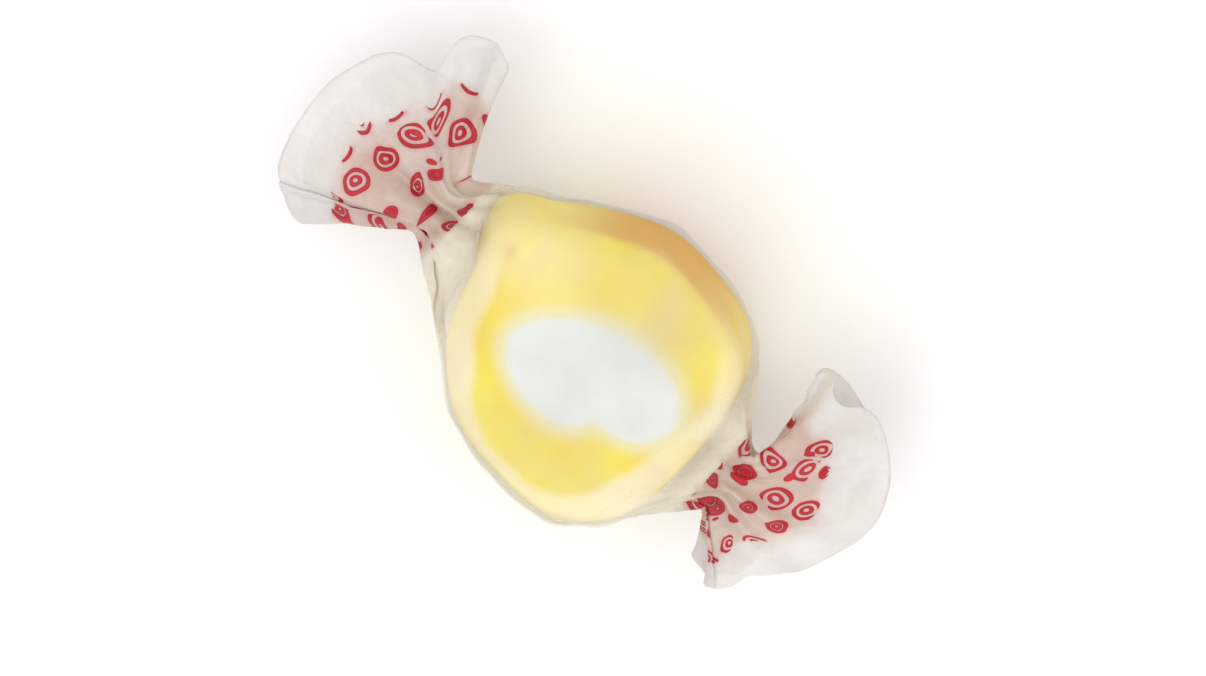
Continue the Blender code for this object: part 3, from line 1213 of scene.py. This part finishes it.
    def ease_necks(self) -> None:
        """Round the corners that the rows turn at the necks."""
        x = np.abs(self.points[..., 0].mean(axis=1))
        near = bell((x - self.neck_end) / self.neck_easing)[1:-1, None, None]
        for _ in range(10):
            middle = (self.points[:-2] + self.points[2:]) / 2
            self.points[1:-1] += 0.5 * near * (middle - self.points[1:-1])

    def normals(self) -> np.ndarray:
        """Outward directions of the sheet.

        Returns:
            A unit direction by row and column.
        """
        down = np.gradient(self.points, axis=0)
        round_it = np.gradient(self.points, axis=1)
        normal = np.cross(round_it, down)
        return normal / np.maximum(np.linalg.norm(normal, axis=-1, keepdims=True), 1e-12)

    def fold(self) -> None:
        """Press the folds into the sheet: gathers that spiral into each neck and open in each fan."""
        x = np.clip(self.points[..., 0], -self.neck_end, self.neck_end)
        turned = self.angles()[None, :] + self.twist * x
        out = self.out
        station = np.abs(x) / MM
        height = np.zeros_like(x)
        for number, group in enumerate(self.fold_sets):
            size = group.size(station, out)
            for end in End:
                seed = 5 + 3 * number + end.value
                here = size * folds(turned, group.count, seed, group.softness)
                height = height + np.where(x * end.value > 0, here, 0.0)
        rough = smooth_noise(self.points, 3.2 * MM, 5.0)
        ridged = 1 - np.abs(smooth_noise(self.points, 2.3 * MM, 9.0)) * 2.5
        loose = np.maximum(ramp(station, *self.loose_mm), ramp(out, 0.0, 0.25))
        uneven = loose * (self.rough_mm * rough + self.ridge_mm * ridged)
        height = height + uneven + self.rough_least_mm * rough
        height = height - self.under()[None, :] / MM
        at_edge = bell((self.angles() - self.lap_from) / self.free_edge)[None, :]
        height = height + self.edge_lift_mm * at_edge * mix(0.4, 1.0, loose)
        self.points = self.points + (height * MM)[..., None] * self.normals()

    def relax(self) -> None:
        """Ease the kinks where the paper lifts off the rope, away from the folds of the necks."""
        from_neck = ramp(self.station, *self.relaxed_mm)[..., None]
        for _ in range(6):
            mean = around(self.points) / 4
            self.points = self.points + 0.6 * from_neck * (mean - self.points)

    def clear_sweet(self) -> None:
        """Keep the sheet outside the sweet and off the ground."""
        body = self.along == 0
        part = self.points[body]
        y, z = part[..., 1], part[..., 2] - self.rope.middle
        reach, angle = np.hypot(y, z), np.arctan2(z, y)
        grow = self.rope.swell + self.thickness + self.clearance + (self.under_lap - self.under())[None, :]
        least = self.rope.reach(part[..., 0], angle, np.broadcast_to(grow, reach.shape))
        # A smooth maximum, so that no crease runs round the places where the paper comes to rest.
        over = (reach - least) / self.contact_soft
        scale = (least + self.contact_soft * np.logaddexp(0.0, over)) / reach
        part[..., 1] = y * scale
        part[..., 2] = self.rope.middle + z * scale
        self.points[body] = part
        self.points[..., 2] = np.maximum(self.points[..., 2], 0.0)

    def gap(self, sweet: list[bpy.types.Object]) -> np.ndarray:
        """How far the sheet stands off the taffy.

        Args:
            sweet: the pieces of taffy.

        Returns:
            The distance by row and column.
        """
        corners: list[Vector] = []
        faces: list[list[int]] = []
        for item in sweet:
            start = len(corners)
            corners += [v.co.copy() for v in item.data.vertices]
            faces += [[start + i for i in p.vertices] for p in item.data.polygons]
        tree = BVHTree.FromPolygons(corners, faces)
        flat = self.points.reshape(-1, 3)
        return np.array([tree.find_nearest(Vector(p))[3] for p in flat]).reshape(self.points.shape[:2])

    def haze(self, sweet: list[bpy.types.Object]) -> np.ndarray:
        """How milky the sheet is: nearly clear on the sweet, milky where it stands free.

        Args:
            sweet: the pieces of taffy that the paper lies on.

        Returns:
            The share of light that the whole sheet catches, by row and column.
        """
        clinging = self.cling_haze + self.cling_uneven * smooth_noise(self.points, 3.0 * MM, 2.0)
        for *place, more in self.looser:
            clinging = clinging + more * patch(self.points, *place)
        lines = np.maximum(1 - 4 * np.abs(smooth_noise(self.points, 5.5 * MM, 31.0)), 0.0)
        clinging = clinging + self.crease_haze * lines
        banded = self.band_haze * self.rope.rim_band(self.points) + 0.5 * clinging
        clinging = np.clip(np.maximum(clinging, banded), self.least_haze, self.cling_most)
        standing = mix(*self.neck_haze, ramp(self.station, *self.neck_mm))
        standing = mix(standing, self.fan_haze, self.out)
        angle, _ = polar(self.points, self.rope.centre)
        share = np.interp(np.degrees(angle), *zip(*self.side_clear), period=360.0)
        low = ramp((self.rope.top - self.points[..., 2]) / MM, *self.side_mm)
        cleared = mix(1.0, share, low * ramp(self.station, *self.cleared_mm))
        free = ramp(self.gap(sweet) / MM, *self.free_mm)
        total = np.clip(mix(clinging, standing, free) * cleared, self.least_haze, self.most_haze)
        for _ in range(3):
            total = (around(total) + 2 * total) / 6
        return total

    def share_faces(self, total: np.ndarray) -> tuple[np.ndarray, np.ndarray]:
        """Split the milkiness between the sheet's faces: evenly where faint, mostly outside where strong.

        Args:
            total: the share of light that the whole sheet catches.

        Returns:
            The share that its outer face catches, and the share of the rest that its inner face catches.
        """
        even = 1 - np.sqrt(1 - total)
        outside = mix(even, 0.96 * total, smooth_step((total - self.cling_most) / 0.15))
        return outside, 1 - (1 - total) / (1 - outside)

    def print_zone(self) -> np.ndarray:
        """Where the print lies, from 0 to 1: a band round each neck with an uneven edge.

        Returns:
            One share by row and column.
        """
        ragged = 2.0 * smooth_noise(self.points, 4.0 * MM, 20.0)
        outer = ramp(self.fan_mm * self.out + ragged, *self.print_outer_mm)
        return outer * ramp(self.station, *self.print_inner_mm)

    def painted_glow(self) -> np.ndarray:
        """Where the paper is painted whiter and warmer as painted light, from 0 to 1: round the sweet's
        sides and up to the necks.
        """
        _, from_middle = polar(self.points, self.rope.centre)
        return ramp(from_middle / MM, *self.painted_glow_mm) * (1 - smooth_step(3 * self.out))

    def sheet_map(self) -> np.ndarray:
        """The sheet's own map in metres: each end unrolled into a flat sector round its neck.

        Returns:
            Places on the map by row and column.
        """
        angle = self.angles()
        half_turns = np.floor(angle / math.pi)
        unrolled = half_turns + (1 - np.cos(angle - half_turns * math.pi)) / 2 - 2.5
        flat = np.empty((*self.points.shape[:2], 2))
        middle = self.along == 0
        for fan in self.fans:
            side = fan.end.value
            rows = (self.along * side > 0) | (middle & (self.points[:, 0, 0] * side >= 0))
            short = np.minimum(np.abs(self.points[rows, :1, 0]) - self.neck_end, 0.0)
            distance = self.map_start - short + fan.reach * self.out[rows]
            bearing = 2 * fan.spread * unrolled[None, :]
            flat[rows, :, 0] = distance * np.cos(bearing) + side * self.map_apart
            flat[rows, :, 1] = distance * np.sin(bearing)
        return flat

    def build(self, sweet: list[bpy.types.Object]) -> bpy.types.Object:
        """Make the sheet.

        Args:
            sweet: the pieces of taffy that the paper lies on.

        Returns:
            The sheet, one continuous piece with a real thickness.
        """
        self.lay_out()
        self.fold()
        self.relax()
        self.clear_sweet()
        item = grid_object("waxed_paper", self.points, closed_rows=False, closed_columns=False)
        outside, inside = self.share_faces(self.haze(sweet))
        write_field(item, Field.HAZE, outside)
        write_field(item, Field.HAZE_INSIDE, inside)
        write_field(item, Field.PRINT, self.print_zone())
        # Painted light round the sweet's sides.
        write_field(item, Field.PAINTED_GLOW, self.painted_glow())
        write_field(item, Field.CREASE, mix(*self.creased, ramp(self.station, *self.loose_mm)))
        layer = item.data.uv_layers.new(name="sheet")
        flat = self.sheet_map().reshape(-1, 2)
        corners = np.empty(len(item.data.loops), dtype=np.int32)
        item.data.loops.foreach_get("vertex_index", corners)
        layer.data.foreach_set("uv", flat[corners].astype(np.float32).ravel())
        # The second material is for the sheet's inner face.
        solid = item.modifiers.new("thickness", "SOLIDIFY")
        solid.thickness = self.thickness
        solid.offset = -1.0
        solid.material_offset = 1
        adopt(item, self.finish.material(), "wrapper")
        item.data.materials.append(self.inside.material())
        return item


@dataclass
class NeckGathers:
    """The tight folds of paper inside a neck, which close its throat in a star of blades."""

    end: End
    paper: bpy.types.Material
    axis_height: float
    seed: int
    place: float = 16.9 * MM
    length: float = 4.6 * MM
    radius: float = 2.35 * MM
    thickness: float = 0.16 * MM
    blades: int = 15
    blade_grid: tuple[int, int, int] = (20, 7, 2)
    twist: float = math.radians(75)
    haze: float = 0.8
    waist: float = 0.78
    flare: float = 1.1
    jitter: float = 0.28
    heights: Pair = (0.7, 1.0)

    def blade(self, tree: Any, given: Any) -> Any:
        """Add the nodes of one blade, which stands on the axis and turns about it.

        Args:
            tree: the node tree.
            given: the outputs that hold its sizes.

        Returns:
            An output with the blade, pinched at its middle.
        """
        size = {"X": given["Length"], "Y": given["Radius"], "Z": given["Thickness"]}
        box = {"Size": add_node(tree, "ShaderNodeCombineXYZ", inputs=size).outputs[0]}
        for axis, count in zip("XYZ", self.blade_grid):
            box[f"Vertices {axis}"] = count
        block = add_node(tree, "GeometryNodeMeshCube", inputs=box).outputs["Mesh"]
        here = add_node(tree, "GeometryNodeInputPosition").outputs[0]
        parts = add_node(tree, "ShaderNodeSeparateXYZ", inputs={0: here}).outputs
        share = compute(tree, "DIVIDE", parts["X"], given["Length"])
        turn = compute(tree, "MULTIPLY", share, given["Twist"])
        raised = compute(tree, "ADD", parts["Y"], compute(tree, "MULTIPLY", given["Radius"], 0.5))
        squared = compute(tree, "MULTIPLY", share, share)
        flared = compute(tree, "MULTIPLY_ADD", squared, self.flare, self.waist)
        upright = {"X": parts["X"], "Y": compute(tree, "MULTIPLY", raised, flared), "Z": parts["Z"]}
        turned = {"Vector": add_node(tree, "ShaderNodeCombineXYZ", inputs=upright).outputs[0], "Angle": turn}
        twisted = add_node(tree, "ShaderNodeVectorRotate", {"rotation_type": "X_AXIS"}, turned).outputs[0]
        moved = {"Geometry": block, "Position": twisted}
        return add_node(tree, "GeometryNodeSetPosition", inputs=moved).outputs[0]

    def tree(self) -> bpy.types.GeometryNodeTree:
        """Build the node tree that makes one blade and sets it round the axis.

        Returns:
            The tree, with its sizes as named inputs.
        """
        tree = bpy.data.node_groups.new("neck_gathers", "GeometryNodeTree")
        numbers = ("Length", "Radius", "Thickness", "Twist", "Haze")
        kinds = {"Blades": "Int", "Seed": "Int", "Material": "Material"} | dict.fromkeys(numbers, "Float")
        for name, kind in kinds.items():
            tree.interface.new_socket(name, in_out="INPUT", socket_type="NodeSocket" + kind)
        tree.interface.new_socket("Geometry", in_out="OUTPUT", socket_type="NodeSocketGeometry")
        given = add_node(tree, "NodeGroupInput").outputs
        marks = add_node(tree, "GeometryNodePoints", inputs={"Count": given["Blades"]}).outputs[0]
        number = add_node(tree, "GeometryNodeInputIndex").outputs[0]
        drawn = {"ID": number, "Seed": given["Seed"]}
        single = {"data_type": "FLOAT"}
        sideways = {2: -self.jitter, 3: self.jitter, **drawn}
        jitter = add_node(tree, "FunctionNodeRandomValue", single, sideways).outputs[1]
        spaced = compute(tree, "DIVIDE", compute(tree, "ADD", number, jitter), given["Blades"])
        bearing = {"X": compute(tree, "MULTIPLY", spaced, TURN)}
        upward = {2: self.heights[0], 3: self.heights[1], **drawn}
        height = add_node(tree, "FunctionNodeRandomValue", single, upward).outputs[1]
        scale = {"X": 1.0, "Y": height, "Z": 1.0}
        placing = {
            "Points": marks,
            "Instance": self.blade(tree, given),
            "Rotation": add_node(tree, "ShaderNodeCombineXYZ", inputs=bearing).outputs[0],
            "Scale": add_node(tree, "ShaderNodeCombineXYZ", inputs=scale).outputs[0],
        }
        placed = add_node(tree, "GeometryNodeInstanceOnPoints", inputs=placing).outputs[0]
        real = add_node(tree, "GeometryNodeRealizeInstances", inputs={"Geometry": placed}).outputs[0]
        on_points = {"data_type": "FLOAT", "domain": "POINT"}
        milky = {"Geometry": real, "Name": Field.HAZE.value, "Value": given["Haze"]}
        hazy = add_node(tree, "GeometryNodeStoreNamedAttribute", on_points, milky).outputs[0]
        dressing = {"Geometry": hazy, "Material": given["Material"]}
        dressed = add_node(tree, "GeometryNodeSetMaterial", inputs=dressing).outputs[0]
        add_node(tree, "NodeGroupOutput", inputs={0: dressed})
        return tree

    def build(self) -> bpy.types.Object:
        """Make the gathers of one neck.

        Returns:
            A plain mesh, set on the twist's axis.
        """
        name = f"neck_gathers_{self.end.name.lower()}"
        maker = new_object(name + "_maker", bpy.data.meshes.new(name))
        tree = self.tree()
        modifier = maker.modifiers.new("gathers", "NODES")
        modifier.node_group = tree
        values = {
            "Blades": self.blades,
            "Length": self.length,
            "Radius": self.radius,
            "Thickness": self.thickness,
            "Twist": self.twist,
            "Haze": self.haze,
            "Seed": self.seed,
            "Material": self.paper,
        }
        for socket in tree.interface.items_tree:
            if socket.in_out == "INPUT":
                modifier[socket.identifier] = values[socket.name]
        graph = bpy.context.evaluated_depsgraph_get()
        mesh = bpy.data.meshes.new_from_object(maker.evaluated_get(graph), depsgraph=graph)
        bpy.data.objects.remove(maker)
        mesh.transform(Matrix.Translation((self.end.value * self.place, 0.0, self.axis_height)))
        mesh.shade_smooth()
        item = new_object(name, mesh)
        adopt(item, self.paper, "wrapper")
        return item


@dataclass(frozen=True)
class SoftLight:
    """A square light of so many watts, placed to the camera's right, up the picture and above the floor."""

    name: str
    place: Triple
    side: float
    power: float


@dataclass
class Studio:
    """A pale floor, soft light and the camera, which looks down steeply on the upper cut face."""

    floor_colour: str = "FCFCFB"
    floor_half: float = 1.5
    floor_roughness: float = 0.85
    sky_colour: str = "FFFFFF"
    sky_strength: float = 0.74
    lights: tuple[SoftLight, ...] = (
        SoftLight("key", (-0.22, -0.26, 0.58), 0.7, 1.55),
        SoftLight("top", (-0.05, 0.1, 0.8), 0.9, 1.1),
        SoftLight("fill", (0.42, 0.1, 0.38), 0.5, 0.55),
    )
    elevation: float = math.radians(80)
    azimuth: float = math.radians(8)
    roll: float = math.radians(44.3)
    lens: float = 180.0
    sensor: float = 36.0
    clip_start: float = 0.01
    pixels_per_mm: float = 12.2
    aim: Triple = (0.6 * MM, 1.2 * MM, 9.5 * MM)

    def directions(self) -> tuple[Vector, Vector, Vector]:
        """The camera's right, up and back directions.

        Returns:
            The three directions, at right angles.
        """
        level = math.cos(self.elevation)
        x, y = -math.sin(self.azimuth) * level, math.cos(self.azimuth) * level
        back = Vector((x, y, math.sin(self.elevation)))
        across = Vector((math.cos(self.roll), math.sin(self.roll), 0.0))
        up = back.cross(across).normalized()
        return up.cross(back), up, back

    def build_camera(self) -> None:
        """Set the camera at the photograph's viewing angle."""
        right, up, back = self.directions()
        distance = self.lens / self.sensor * PHOTO_WIDTH / self.pixels_per_mm * MM
        camera = new_object("camera", bpy.data.cameras.new("camera"))
        camera.data.lens = self.lens
        camera.data.sensor_width = self.sensor
        camera.data.clip_start = self.clip_start
        turned = Matrix((right, up, back)).transposed().to_4x4()
        camera.matrix_world = Matrix.Translation(Vector(self.aim) + back * distance) @ turned
        bpy.context.scene.camera = camera

    def build_light(self, light: SoftLight) -> None:
        """Hang a soft square light, turned to the sweet.

        Args:
            light: its size, power and place.
        """
        right, up, _ = self.directions()
        flat_right = Vector((right.x, right.y, 0.0)).normalized()
        flat_up = Vector((up.x, up.y, 0.0)).normalized()
        item = new_object(light.name, bpy.data.lights.new(light.name, "AREA"))
        item.data.size = light.side
        item.data.energy = light.power
        x, y, z = light.place
        item.location = flat_right * x + flat_up * y + Vector((0.0, 0.0, z))
        item.rotation_euler = (item.location - Vector(self.aim)).to_track_quat("Z", "Y").to_euler()

    def build(self) -> None:
        """Make the floor, the lights, the camera and the surroundings."""
        ends = (-self.floor_half, self.floor_half)
        points = np.array([[(x, y, 0.0) for x in ends] for y in ends])
        floor = grid_object("floor", points, closed_rows=False, closed_columns=False)
        material = bpy.data.materials.new("painted_board")
        material.use_nodes = True
        shader = material.node_tree.nodes["Principled BSDF"]
        shader.inputs["Base Color"].default_value = linear(self.floor_colour)
        shader.inputs["Roughness"].default_value = self.floor_roughness
        floor.data.materials.append(material)
        for light in self.lights:
            self.build_light(light)
        world = bpy.data.worlds.new("white_room")
        world.use_nodes = True
        sky = world.node_tree.nodes["Background"]
        sky.inputs["Color"].default_value = linear(self.sky_colour)
        sky.inputs["Strength"].default_value = self.sky_strength
        scene = bpy.context.scene
        scene.world = world
        scene.view_settings.view_transform = "Standard"
        self.build_camera()
        log.info("studio: floor, %d lights, camera", len(self.lights))


def fans() -> tuple[Fan, Fan]:
    """The two flared ends, the larger one first.

    Returns:
        The fans of the left end and of the right one.
    """
    left = Fan(
        end=End.LEFT,
        reach=13.1 * MM,
        lean=math.radians(13.5),
        spread=math.radians(54.5),
        half_height=2.6 * MM,
        rise=-0.4 * MM,
        side_cut=0.25,
        slant=0.0,
        lower_cut=0.12,
        wave_height=2.4 * MM,
        wave_turns=0.62,
        wave_phase=math.radians(35),
        ruffle_phase=math.radians(20),
        notches=((0, 0.08, 22), (62, 0.22, 9), (205, 0.08, 14), (300, 0.2, 12)),
    )
    right = Fan(
        end=End.RIGHT,
        reach=12.4 * MM,
        lean=math.radians(20),
        spread=math.radians(80),
        half_height=2.5 * MM,
        rise=0.4 * MM,
        side_cut=0.3,
        slant=0.38,
        lower_cut=0.1,
        wave_height=2.2 * MM,
        wave_turns=0.7,
        wave_phase=math.radians(150),
        ruffle_phase=math.radians(200),
        notches=((38, 0.12, 8), (122, 0.1, 12), (255, 0.16, 14)),
    )
    return left, right


def main() -> None:
    """Build the sweet, its paper and the studio in order."""
    logging.basicConfig(level=logging.INFO, format="%(name)s %(message)s")
    yellow, white = "EDDC33", "E2E5E0"
    rope = TaffyRope(
        yellow=PulledTaffy("pulled_yellow_taffy", colour=yellow, deep_and_shade="E9CE26", other=white),
        white=PulledTaffy("pulled_white_taffy", colour=white, deep_and_shade="DDE0DC", other=yellow),
    )
    sweet = [rope.build_ring(), rope.build_core()]
    inside = WaxedPaper(name="waxed_paper_inside", haze=Field.HAZE_INSIDE)
    paper = PaperSheet(rope=rope, finish=WaxedPaper(), inside=inside, fans=fans()).build(sweet)
    for end in End:
        NeckGathers(end, paper.data.materials[0], rope.middle, seed=4 + end.value).build()
    Studio().build()


if __name__ == "__main__":
    main()
